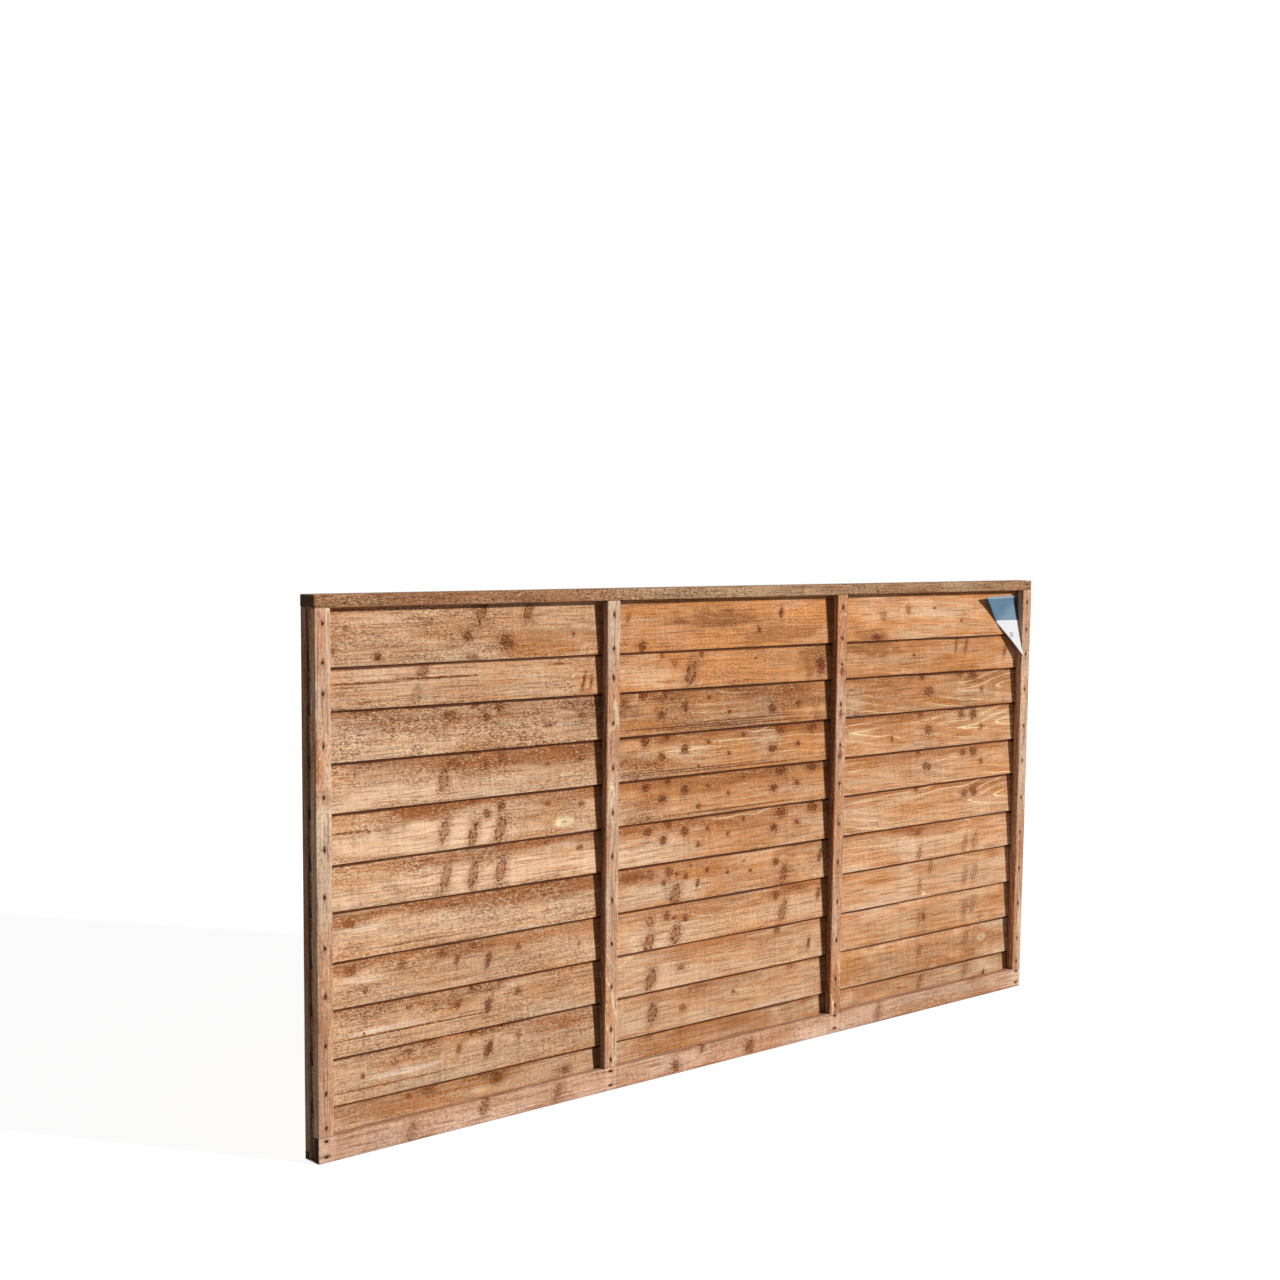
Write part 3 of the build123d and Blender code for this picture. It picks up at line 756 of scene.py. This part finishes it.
def slat_tone(number, boards, seed, posts, s, t, n):
    """Tones of one slat, with the dark band below the slat above and its patches."""
    drop = (number - 1) / (len(boards) - 1)
    light = SLAT_LIGHTNESS[number - 1] + by_bay(BAY_LIGHTNESS, s)
    light = light + 0.13 * noise(seed + 7, s, t, 0.22, 0.05) + 0.08 * noise(seed + 11, s, t, 0.06, 0.03)
    deep = BAND_DEPTH * (1.0 + 0.75 * noise(seed + 8, s, 0 * t, 0.17, 1.0))
    gap = slat_lap(number, boards, s, t, n) + 0.004 * noise(seed + 12, s, t, 0.05, 0.02)
    band = ramp(deep, 0.35 * deep, gap) * SLAT_BAND[number - 1] * by_bay(BAY_BAND, s)
    band = band * (1.0 + 0.35 * noise(seed + 13, s, 0 * t, 0.21, 1.0))
    warmth = by_bay(BAY_WARMTH, s) + drop * by_bay(FOOT_WARMTH, s)
    warmth = warmth + 0.15 * noise(seed + 9, s, t, 0.3, 0.06) + 0.35 * band
    fuzz = by_bay(BAY_FUZZ, s) * (1.0 - 0.55 * drop) + 0.20 * noise(seed + 10, s, t, 0.15, 0.05)
    values = np.stack([light, band, warmth, fuzz], axis=-1)
    for first, last, *patch in PATCHES:
        if first <= number <= last:
            values += patch_share(seed, s, t, *patch[:4])[:, None] * patch[4:] / 100
    # Painted shadow: the slats go darker and browner in a strip left of each inner upright, where its shadow
    # falls
    for post in posts:
        post_shadow = ramp(post - SHADOW_STRIP - 4 * MM, post - SHADOW_STRIP, s) * ramp(post + MM, post, s)
        values[:, 0] -= 0.15 * post_shadow
        values[:, 1] = np.maximum(values[:, 1], 0.9 * post_shadow)
    values[:, 3] = np.clip(values[:, 3], 0, 1.2)
    return values


def plain_tone(seed, light, warmth, fuzz, shaded_side, s, t, n):
    """Tones of a plain board, each a little uneven. Where asked, painted shade darkens its near side."""
    uneven = noise(seed + 7, s, t, 0.16, 0.03)
    level = light + 0.14 * uneven - 0.75 * shaded_side * ramp(6 * MM, 0, t)
    heat = warmth + 0.35 * noise(seed + 8, s, t, 0.2, 0.03)
    return np.stack([level, 0 * s, heat, fuzz + 0.2 * uneven], axis=-1)


# Front uprights, left to right: lightness, warmth, and how much darker and warmer they are below a height
UPRIGHT_LOOKS = ((0.50, 0.06, 0.20), (0.52, 0.10, 0.45), (0.44, 0.80, 0.15), (0.40, 0.30, 0.15))
UPRIGHT_CHANGE = 0.70
UPRIGHT_RINGS = (0.8, 0.8, 0.8)
# The upright with knots, and their heights up it
KNOTTY_UPRIGHT = 3
UPRIGHT_KNOTS = (698, 613, 530)


def front_upright_tone(number, seed, s, t, n):
    """Tones of a front upright: pale above, darker and warmer below, and darker on its left edge."""
    light, warmth, change = UPRIGHT_LOOKS[number - 1]
    outer = number == 1
    inner = 1 < number < len(UPRIGHT_LOOKS)
    below = ramp(UPRIGHT_CHANGE + 0.06, UPRIGHT_CHANGE - 0.06, s)
    edge = ramp(20 * MM, 25 * MM, t)
    uneven = noise(seed + 7, s, t, 0.09, 0.012)
    # Painted shade: the side faces of an inner upright grow darker and browner with depth towards the slats
    deep = ramp(-1 * MM, -5 * MM, n) * inner
    level = light - 0.35 * change * below + 0.34 * uneven - (0.12 if outer else 0.08) * edge
    # Painted light: the side faces of the first upright are made lighter
    level = level - 0.7 * deep + 0.45 * outer * ramp(-1 * MM, -4 * MM, n)
    heat = warmth + change * below + 0.55 * noise(seed + 8, s, t, 0.10, 0.018)
    band = np.maximum(0.12 * edge * outer, 0.8 * deep)
    return np.stack([level, band, heat, 0.5 + 0.3 * uneven], axis=-1)


# Blocks of another tone on the bottom rail, in mm: middle, half length, how much lighter and how much warmer
RAIL_PATCHES = ((-350, 48, 0.20, -0.30), (-490, 20, -0.05, -0.35), (-800, 110, -0.20, 0.15),
                (60, 120, -0.10, 0.25), (240, 45, 0.10, -0.25), (640, 160, -0.25, 0.20),
                (800, 60, -0.15, 0.45))


def rail_tone(seed, posts, s, t, n):
    """Tones of the bottom rail: paler under each upright with a thin line of painted shade at each side, and
    darker along its foot.
    """
    uneven = noise(seed + 7, s, t, 0.15, 0.02)
    light = 0.44 + 0.16 * uneven
    warmth = 0.45 + 0.35 * noise(seed + 8, s, t, 0.25, 0.03)
    for post in posts:
        away = np.abs(s - post)
        near = ramp(17 * MM, 14 * MM, away)
        # Paler under each upright, and painted shade: a thin dark line at each side of its foot
        light = light + 0.20 * near - 0.45 * ramp(2.5 * MM, 0.5 * MM, np.abs(away - 15.5 * MM))
        warmth = warmth - 0.40 * near
    for x, half_x, lighter, warmer in RAIL_PATCHES:
        part = ramp(half_x + 14, half_x - 14, np.abs((s - PANEL_HALF) / MM - x + 6 * uneven))
        light = light + lighter * part
        warmth = warmth + warmer * part
    foot = ramp(6 * MM, 2 * MM, t)
    return np.stack([light - 0.25 * foot, 0.30 * foot, warmth, 0.45 + 0.2 * uneven], axis=-1)


def cap_tone(seed, s, t, n):
    """Tones of the cap rail: reddish to the left of the second upright, yellow-grey to its right."""
    share = s / (2 * PANEL_HALF)
    uneven = noise(seed + 7, s, t, 0.10, 0.02) + 0.6 * noise(seed + 8, s, t, 0.03, 0.012)
    warmth = 0.8 - 0.5 * ramp(0.32, 0.345, share) + 0.3 * noise(seed + 9, s, t, 0.2, 0.03)
    light = 0.50 + 0.22 * uneven - 0.3 * ramp(0.975, 0.99, share)
    return np.stack([light, 0 * s, warmth, 0.9 + 0.2 * uneven], axis=-1)


def block_of(number):
    """Which block a slat was sawn from. Slats from one block share their growth rings."""
    return next(i for i, (first, last) in enumerate(BLOCKS, start=1) if first <= number <= last)


def make_slats():
    """The lapped slats, the last of them at the foot."""
    count = sum(name.startswith("slat_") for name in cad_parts) + 1
    nodes = [f"slat_{number:02d}" for number in range(1, count)] + ["foot_slat"]
    boards = [slat_board(node) for node in nodes]
    boards[0].width += TOP_SEAT
    posts = [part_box(f"front_upright_{number}")[0].x - boards[0].corner[0] for number in (2, 3)]
    for number, (node, board) in enumerate(zip(nodes, boards), start=1):
        seed = 20 + 13 * number
        block = block_of(number)
        make_board(node, board, SLAT_WOOD, seed, slat_knots(number, board),
                   partial(slat_tone, number, boards, seed, posts), rings=700 + 31 * block,
                   ceiling=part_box("cap_rail")[0].z + SAW_RELIEF, lap=partial(slat_lap, number, boards),
                   flame=block == FLAMED_BLOCK, ringed=RING_SHOW[block - 1])


def nail_stains(board, centres):
    """A dark mark round each nail that is driven through the board's face."""
    stains = []
    for centre in centres:
        along = float((centre - board.corner) @ board.along)
        across = float((centre - board.corner) @ board.across)
        if 0 < along < board.length and 0 < across < board.width:
            stains.append((along, across, STAIN_HALF_LENGTH, STAIN_HALF_WIDTH, STAIN_TONE, 0.0))
    return stains


def nail_centres(node):
    """The middle of each nail of a node."""
    return [(points.max(axis=0) + points.min(axis=0)) / 2 for points in solids_of(node)]


def make_uprights():
    """The front uprights and the back uprights behind them."""
    count = sum(name.startswith("front_upright_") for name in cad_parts)
    driven = nail_centres("upright_nails")
    for number in range(1, count + 1):
        seed = 300 + 17 * number
        node = f"front_upright_{number}"
        front = box_board(node, FRONT_UPRIGHT)
        marks = nail_stains(front, driven)
        if number == KNOTTY_UPRIGHT:
            marks += [(up * MM, front.width / 2, 8 * MM, 5 * MM, 0.6, 0.0) for up in UPRIGHT_KNOTS]
        make_board(node, front, UPRIGHT_WOOD, seed, marks,
                   partial(front_upright_tone, number, seed), ringed=UPRIGHT_RINGS)
        node = f"back_upright_{number}"
        # The first back upright's near side, at the panel's left end, gets painted shade
        make_board(node, box_board(node, BACK_UPRIGHT), UPRIGHT_WOOD, seed + 9, (),
                   partial(plain_tone, seed + 9, 0.40, 0.6, 0.5, number == 1))


def make_rails():
    """The cap rail, the bottom rail and the rear rail."""
    make_board("cap_rail", box_board("cap_rail", CAP_RAIL), CAP_WOOD, 501, (),
               partial(cap_tone, 501), arris=CAP_ARRIS)
    bottom = box_board("bottom_rail", FRONT_RAIL)
    driven = nail_centres("rail_nails")
    marks = board_knots(bottom, RAIL_MARKS) + nail_stains(bottom, driven)
    posts = sorted({round(float(centre[0]), 3) + PANEL_HALF for centre in driven})
    make_board("bottom_rail", bottom, RAIL_WOOD, 541, marks, partial(rail_tone, 541, posts))
    make_board("rear_rail", box_board("rear_rail", BACK_RAIL), RAIL_WOOD, 571, (),
               partial(plain_tone, 571, 0.35, 0.6, 0.6, False))


def solids_of(node):
    """The corner points of each separate solid of a node."""
    mesh = bmesh.new()
    mesh.from_mesh(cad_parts[node].data)
    bmesh.ops.remove_doubles(mesh, verts=mesh.verts, dist=0.01 * MM)
    waiting = set(mesh.verts)
    solids = []
    while waiting:
        group = [waiting.pop()]
        for vert in group:
            for edge in vert.link_edges:
                other = edge.other_vert(vert)
                if other in waiting:
                    waiting.remove(other)
                    group.append(other)
        solids.append(np.array([vert.co for vert in group]))
    mesh.free()
    return sorted(solids, key=lambda points: tuple(np.round(points.mean(axis=0), 4)))


CAD_NAIL_SIDES = 8
NAIL_SIDES = 20


def nail_mesh(points, axis, outward):
    """A round nail in its solid's space: a dished head with a worn edge, a shank and a point."""
    across = [i for i in range(3) if i != axis]
    middle = (points.max(axis=0) + points.min(axis=0)) / 2
    along = points[:, axis] * outward
    top = along.max()
    foot = along.min()
    radial = np.linalg.norm((points - middle)[:, across], axis=1)
    wide = radial > 0.8 * radial.max()
    head = radial.max() * math.cos(math.pi / CAD_NAIL_SIDES)
    shank = np.median(radial[~wide])
    under = along[wide].min()
    deep = top - under
    rings = ((top - 0.15 * deep, 0.45 * head), (top, 0.6 * head), (top - 0.08 * deep, 0.88 * head),
             (top - 0.45 * deep, head), (under, 0.9 * head), (under, shank), (foot + 3.2 * shank, shank),
             (foot + 0.3 * shank, 0.25 * shank))
    verts = []

    def add_vert(height, radius, angle):
        place = middle.copy()
        place[axis] = height * outward
        place[across] += radius * np.array([math.cos(angle), math.sin(angle)])
        verts.append(place)

    for height, radius in rings:
        for i in range(NAIL_SIDES):
            add_vert(height, radius, 2 * math.pi * i / NAIL_SIDES)
    faces = grid_faces(len(rings), NAIL_SIDES, True)
    for start, height in ((0, top - 0.18 * deep), ((len(rings) - 1) * NAIL_SIDES, foot)):
        add_vert(height, 0.0, 0.0)
        faces += [(start + i, start + (i + 1) % NAIL_SIDES, len(verts) - 1) for i in range(NAIL_SIDES)]
    return verts, faces


def make_nails(node, axis, outward):
    """All the nails of a node as one piece."""
    all_verts = []
    all_faces = []
    for points in solids_of(node):
        verts, faces = nail_mesh(points, axis, outward)
        all_faces += [tuple(i + len(all_verts) for i in face) for face in faces]
        all_verts += verts
    mesh = bpy.data.meshes.new(node + "_mesh")
    mesh.from_pydata([tuple(vert) for vert in all_verts], [], all_faces)
    facing = bmesh.new()
    facing.from_mesh(mesh)
    bmesh.ops.recalc_face_normals(facing, faces=facing.faces)
    facing.to_mesh(mesh)
    facing.free()
    mesh.polygons.foreach_set("use_smooth", [True] * len(mesh.polygons))
    mesh.set_sharp_from_angle(angle=SMOOTH_ANGLE)
    mesh.materials.append(NAIL_STEEL)
    return finish_piece(node + "_round", mesh, node)


# The card's left and right edges from the top down, in mm left of the last upright and below the cap rail
CARD_LEFT = ((123, 13), (99, 38), (75, 66), (51, 89), (30, 109), (12, 128), (-4.5, 144.6))
CARD_RIGHT = ((0.4, 11), (0.4, 32), (0.4, 54), (0.4, 76), (0.4, 98), (0.4, 120), (-5.8, 143.4))
CARD_COLUMNS = 16
CARD_ROWS = 36
CARD_BEND = 1.2 * MM
CARD_THICKNESS = 0.45 * MM


def leaf_depth(mesh, corner):
    """The y of the front plane of the card's leaf that reaches that corner, for any x and z."""
    best = None
    for face in mesh.polygons:
        reaches = any((mesh.vertices[i].co - corner).length < 2 * MM for i in face.vertices)
        if reaches and face.normal.y < -0.3 and (best is None or face.area > best.area):
            best = face
    point = best.center.copy()
    normal = best.normal.copy()
    return lambda x, z: point.y - (normal.x * (x - point.x) + normal.z * (z - point.z)) / normal.y


def smooth_line(points, count):
    """Points spread along a smooth curve through the given ones."""
    points = np.array(points, dtype=float)
    ends = np.concatenate([[2 * points[0] - points[1]], points, [2 * points[-1] - points[-2]]])
    line = []
    for share in np.linspace(0, len(points) - 1, count):
        i = min(int(share), len(points) - 2)
        u = share - i
        a, b, c, d = ends[i:i + 4]
        line.append(0.5 * (2 * b + (c - a) * u + (2 * a - 5 * b + 4 * c - d) * u ** 2
                           + (3 * b - a - 3 * c + d) * u ** 3))
    return np.array(line)


def make_card():
    """The printed card as one thin sheet with a soft bend where the node has its fold."""
    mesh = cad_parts["corner_card"].data
    corners = [vert.co.copy() for vert in mesh.vertices]
    upper = leaf_depth(mesh, min(corners, key=lambda c: (round(c.x, 4), c.y)))
    lower = leaf_depth(mesh, min(corners, key=lambda c: (round(c.z, 4), c.y)))
    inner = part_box("front_upright_4")[0].x
    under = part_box("cap_rail")[0].z
    verts = []
    for left, right in zip(smooth_line(CARD_LEFT, CARD_ROWS + 1), smooth_line(CARD_RIGHT, CARD_ROWS + 1)):
        for column in range(CARD_COLUMNS + 1):
            aside, down = left + (right - left) * column / CARD_COLUMNS
            x = inner - aside * MM
            z = under - down * MM
            depths = (upper(x, z), lower(x, z))
            nearest = min(depths)
            soft = CARD_BEND * math.log(sum(math.exp((nearest - depth) / CARD_BEND) for depth in depths))
            verts.append((x, nearest - soft, z))
    faces = grid_faces(CARD_ROWS + 1, CARD_COLUMNS + 1, False)
    sheet = bpy.data.meshes.new("corner_card_mesh")
    sheet.from_pydata(verts, [], faces)
    sheet.polygons.foreach_set("use_smooth", [True] * len(faces))
    sheet.materials.append(CARD_PRINT)
    card = finish_piece("corner_card_sheet", sheet, "corner_card")
    thick = card.modifiers.new("thickness", "SOLIDIFY")
    thick.thickness = CARD_THICKNESS
    thick.offset = -1.0
    return card


def make_world():
    """White where the camera sees it, and a soft even fill on the object."""
    g = Graph("surrounding", bpy.data.worlds)
    bpy.context.scene.world = g.owner
    seen, fill = [g.add("Background", {"Color": WHITE, "Strength": strength}).outputs[0]
                  for strength in (1.0, SKY_FILL)]
    g.add("OutputWorld", {0: g.by_ray(seen, fill)})


def make_floor():
    """A pale floor that looks white to the camera, except under the panel, and keeps its shadow."""
    g = Graph("floor_pale")
    parts = g.add("SeparateXYZ", {0: g.place()}).outputs
    beyond = [g.within(parts[i], 0.0, cad_box[1][i] - 3 * MM, cad_box[1][i] + 2 * MM) for i in (0, 1)]
    glow = g.add("Emission", {"Strength": g.times(g.math("MAXIMUM", *beyond), FLOOR_GLOW)}).outputs[0]
    diffuse = g.add("BsdfDiffuse", {"Color": FLOOR_COLOUR}).outputs[0]
    both = g.add("AddShader", {0: diffuse, 1: glow}).outputs[0]
    g.add("OutputMaterial", {0: g.by_ray(both, diffuse)})
    half = FLOOR_SIZE / 2
    corners = [(-half, -half, 0), (half, -half, 0), (half, half, 0), (-half, half, 0)]
    mesh = bpy.data.meshes.new("floor_mesh")
    mesh.from_pydata(corners, [], [(0, 1, 2, 3)])
    mesh.materials.append(g.owner)
    floor = bpy.data.objects.new("floor", mesh)
    bpy.context.scene.collection.objects.link(floor)


def make_sun(name, travel, strength, spread):
    """A distant lamp shining along travel."""
    lamp = bpy.data.lights.new(name, "SUN")
    lamp.energy = strength
    lamp.angle = math.radians(spread)
    thing = bpy.data.objects.new(name, lamp)
    thing.rotation_mode = "QUATERNION"
    thing.rotation_quaternion = Vector(travel).to_track_quat("-Z", "Y")
    bpy.context.scene.collection.objects.link(thing)


def make_camera():
    """The camera at the photograph's angle."""
    lens = bpy.data.cameras.new("photo_camera")
    lens.sensor_width = SENSOR_WIDTH
    lens.lens = LENS
    lens.shift_x = SHIFT_X
    lens.shift_y = SHIFT_Y
    camera = bpy.data.objects.new("photo_camera", lens)
    camera.location = CAMERA_PLACE
    camera.rotation_euler = Euler([math.radians(turn) for turn in CAMERA_TURN], "XYZ")
    bpy.context.scene.collection.objects.link(camera)
    bpy.context.scene.camera = camera


make_camera()
make_world()
make_floor()
make_sun("sun", *SUN)
make_sun("back_light", *BACK_LIGHT)
make_slats()
make_uprights()
make_rails()
make_nails("upright_nails", 1, -1)
make_nails("rail_nails", 1, -1)
make_nails("cap_nails", 2, 1)
make_card()
bpy.context.scene.view_settings.view_transform = "Standard"
